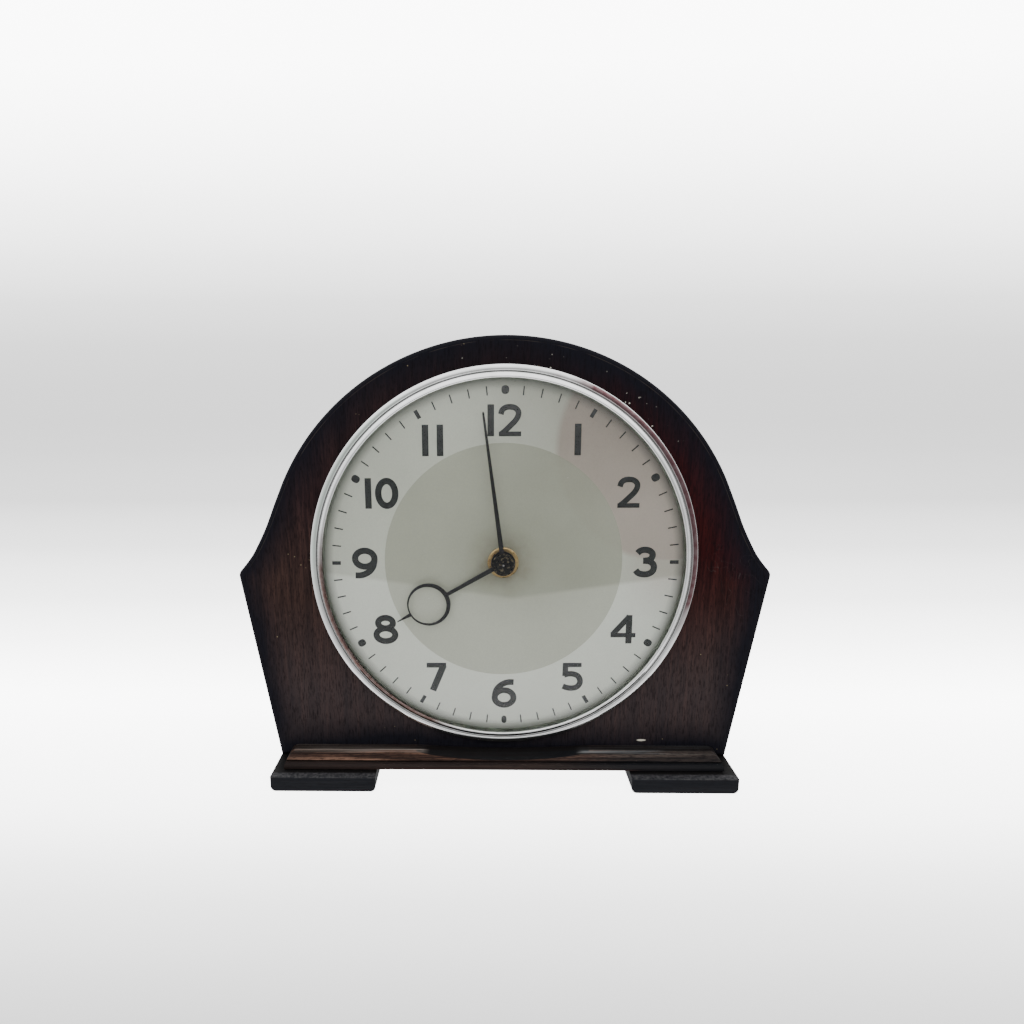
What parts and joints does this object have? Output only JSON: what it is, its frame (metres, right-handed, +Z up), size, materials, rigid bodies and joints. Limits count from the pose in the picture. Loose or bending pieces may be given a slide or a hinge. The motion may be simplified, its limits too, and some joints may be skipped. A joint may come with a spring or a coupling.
{
  "type": "mantel clock",
  "caption": "Arched wooden mantel clock with pointed shoulders, chrome bezel, domed glass, silvered dial, moulded base rail, block feet and back-wound movement.",
  "frame": {"origin": "bottom centre of the whole clock, on the table plane under the feet", "axes": "+X to the viewer's right, +Y to the back, +Z up; the dial faces -Y"},
  "size_m": [0.2164, 0.079, 0.1801],
  "materials": {
    "dark_walnut": "dark stained, worn polish",
    "rail_wood": "dark stained, worn polish",
    "black_wood": "ebonised",
    "plain_wood": "unfinished",
    "plywood": "stained plywood",
    "chrome": "polished",
    "glass": "clear",
    "dark_ring": "matte",
    "dial": "silvered, printed",
    "brass": "lacquered",
    "blued_steel": "black",
    "steel": "bright",
    "spring_steel": "tempered",
    "plated_screw": "worn",
    "cover_metal": "pressed, lacquered"
  },
  "bodies": {
    "case": {"front_panel": "dark_walnut", "case_top": "dark_walnut", "left_side": "dark_walnut", "right_side": "dark_walnut", "base_board": "dark_walnut", "glue_blocks": "plain_wood", "back_board": "plywood", "back_board_screws": "plated_screw", "base_moulding": "rail_wood", "left_foot": "black_wood", "right_foot": "black_wood", "foot_screws": "plated_screw", "bezel": "chrome", "bezel_clips": "brass", "clip_screws": "plated_screw", "sight_ring": "dark_ring", "glass": "glass", "retaining_ring": "brass", "dial_plate": "dial", "centre_collar": "brass", "dial_feet": "brass", "front_plate": "brass", "back_plate": "brass", "pillars": "steel", "pillar_screws": "steel", "dust_cover": "cover_metal", "cover_screws": "plated_screw", "click_spring": "spring_steel", "hairspring": "spring_steel"},
    "minute_arbor_group": {"centre_arbor": "steel", "cannon_pinion": "steel", "minute_hand": "blued_steel", "minute_hand_cap": "blued_steel", "hand_set_knob": "brass", "friction_spring": "brass"},
    "hour_group": {"hour_wheel": "brass", "hour_hand": "blued_steel"},
    "minute_wheel_group": {"minute_wheel": "brass"},
    "centre_wheel_group": {"centre_pinion": "steel", "centre_wheel": "brass"},
    "intermediate_group": {"intermediate_arbor": "steel", "intermediate_wheel": "brass"},
    "barrel_group": {"barrel": "brass", "barrel_cap": "brass", "mainspring": "spring_steel"},
    "third_group": {"third_arbor": "steel", "third_wheel": "brass"},
    "fourth_group": {"fourth_arbor": "steel", "fourth_wheel": "brass"},
    "escape_group": {"escape_arbor": "steel", "escape_wheel": "brass"},
    "lever_group": {"pallet_lever": "brass"},
    "balance_group": {"balance_staff": "steel", "balance_wheel": "brass"},
    "winding_group": {"barrel_arbor": "steel", "ratchet_wheel": "steel", "winding_key": "brass"},
    "click_group": {"click": "steel"},
    "regulator_group": {"regulator_lever": "brass"}
  },
  "joints": [
    {"name": "minute_hand_turn", "type": "hinge", "parent": "case", "child": "minute_arbor_group", "pos_m": [0, 0.0015, 0.0913], "axis": [0, 1, 0], "continuous": true},
    {"name": "hour_hand_turn", "type": "hinge", "parent": "case", "child": "hour_group", "pos_m": [0, 0.0015, 0.0913], "axis": [0, 1, 0], "continuous": true},
    {"name": "minute_wheel_turn", "type": "hinge", "parent": "case", "child": "minute_wheel_group", "pos_m": [-0.01039, 0.0015, 0.0853], "axis": [0, 1, 0], "continuous": true},
    {"name": "fourth_wheel_turn", "type": "hinge", "parent": "case", "child": "fourth_group", "pos_m": [0.00028, 0.0015, 0.1095], "axis": [0, 1, 0], "continuous": true},
    {"name": "third_wheel_turn", "type": "hinge", "parent": "case", "child": "third_group", "pos_m": [-0.0115, 0.0015, 0.1027], "axis": [0, 1, 0], "continuous": true},
    {"name": "centre_wheel_turn", "type": "hinge", "parent": "case", "child": "centre_wheel_group", "pos_m": [0, 0.0015, 0.0913], "axis": [0, 1, 0], "continuous": true},
    {"name": "intermediate_wheel_turn", "type": "hinge", "parent": "case", "child": "intermediate_group", "pos_m": [0.01675, 0.0015, 0.08471], "axis": [0, 1, 0], "continuous": true},
    {"name": "barrel_turn", "type": "hinge", "parent": "case", "child": "barrel_group", "pos_m": [0, 0.0015, 0.0643], "axis": [0, 1, 0], "continuous": true},
    {"name": "escape_wheel_turn", "type": "hinge", "parent": "case", "child": "escape_group", "pos_m": [0.0133, 0.0015, 0.1118], "axis": [0, 1, 0], "continuous": true},
    {"name": "lever_swing", "type": "hinge", "parent": "case", "child": "lever_group", "pos_m": [0.0205, 0.0015, 0.1068], "axis": [0, 1, 0], "range_deg": [-6, 6]},
    {"name": "balance_swing", "type": "hinge", "parent": "case", "child": "balance_group", "pos_m": [0.0275, 0.0015, 0.0973], "axis": [0, 1, 0], "range_deg": [-120, 120], "stiffness_Nm_per_rad": 0.00002},
    {"name": "winding_turn", "type": "hinge", "parent": "case", "child": "winding_group", "pos_m": [0, 0.0015, 0.0643], "axis": [0, 1, 0], "continuous": true},
    {"name": "click_swing", "type": "hinge", "parent": "case", "child": "click_group", "pos_m": [0.0125, 0.0015, 0.0693], "axis": [0, 1, 0], "range_deg": [0, 12], "stiffness_Nm_per_rad": 0.0002, "springref_deg": -5.73},
    {"name": "regulator_swing", "type": "hinge", "parent": "case", "child": "regulator_group", "pos_m": [0.0275, 0.0015, 0.0973], "axis": [0, 1, 0], "range_deg": [-20, 20]}
  ],
  "couplings": [
    {"joint": "hour_hand_turn", "follows": "minute_hand_turn", "ratio": 0.083333},
    {"joint": "minute_wheel_turn", "follows": "minute_hand_turn", "ratio": -0.33333},
    {"joint": "third_wheel_turn", "follows": "fourth_wheel_turn", "ratio": -0.13333},
    {"joint": "centre_wheel_turn", "follows": "fourth_wheel_turn", "ratio": 0.016667},
    {"joint": "intermediate_wheel_turn", "follows": "fourth_wheel_turn", "ratio": -0.0041667},
    {"joint": "barrel_turn", "follows": "fourth_wheel_turn", "ratio": 0.00059524},
    {"joint": "escape_wheel_turn", "follows": "fourth_wheel_turn", "ratio": -10}
  ]
}
